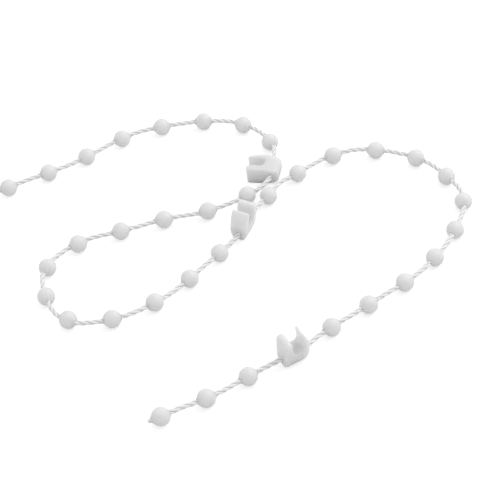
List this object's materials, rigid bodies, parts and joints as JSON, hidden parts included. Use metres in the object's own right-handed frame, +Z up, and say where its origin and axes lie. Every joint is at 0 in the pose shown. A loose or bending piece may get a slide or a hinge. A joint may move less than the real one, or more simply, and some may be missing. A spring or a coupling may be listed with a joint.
{
  "type": "roller blind chain",
  "caption": "Bead chain for a blind: moulded balls and open-jawed snap clips along a thin twisted cord, lying in loose bights.",
  "frame": {"origin": "middle of the underside of the box round the balls and clips, on the surface that the chain lies on", "axes": "+X along the longer side of the lay, +Y across it, +Z up from the surface"},
  "size_m": [0.0938, 0.0894, 0.0072],
  "materials": {
    "cord": "twisted filament cord, matt",
    "moulded": "injection-moulded, satin"
  },
  "bodies": {
    "root": {"cord": "cord", "ball_01": "moulded", "ball_02": "moulded", "ball_03": "moulded", "ball_04": "moulded", "ball_05": "moulded", "ball_06": "moulded", "ball_07": "moulded", "ball_08": "moulded", "ball_09": "moulded", "ball_10": "moulded", "ball_11": "moulded", "ball_12": "moulded", "ball_13": "moulded", "ball_14": "moulded", "ball_15": "moulded", "ball_16": "moulded", "ball_17": "moulded", "ball_18": "moulded", "ball_19": "moulded", "ball_20": "moulded", "ball_21": "moulded", "ball_22": "moulded", "ball_23": "moulded", "ball_24": "moulded", "ball_25": "moulded", "ball_26": "moulded", "ball_27": "moulded", "ball_28": "moulded", "ball_29": "moulded", "ball_30": "moulded", "ball_31": "moulded", "ball_32": "moulded", "ball_33": "moulded", "ball_34": "moulded", "ball_35": "moulded", "snap_clip_1": "moulded", "snap_clip_2": "moulded", "snap_clip_3": "moulded"}
  },
  "joints": []
}
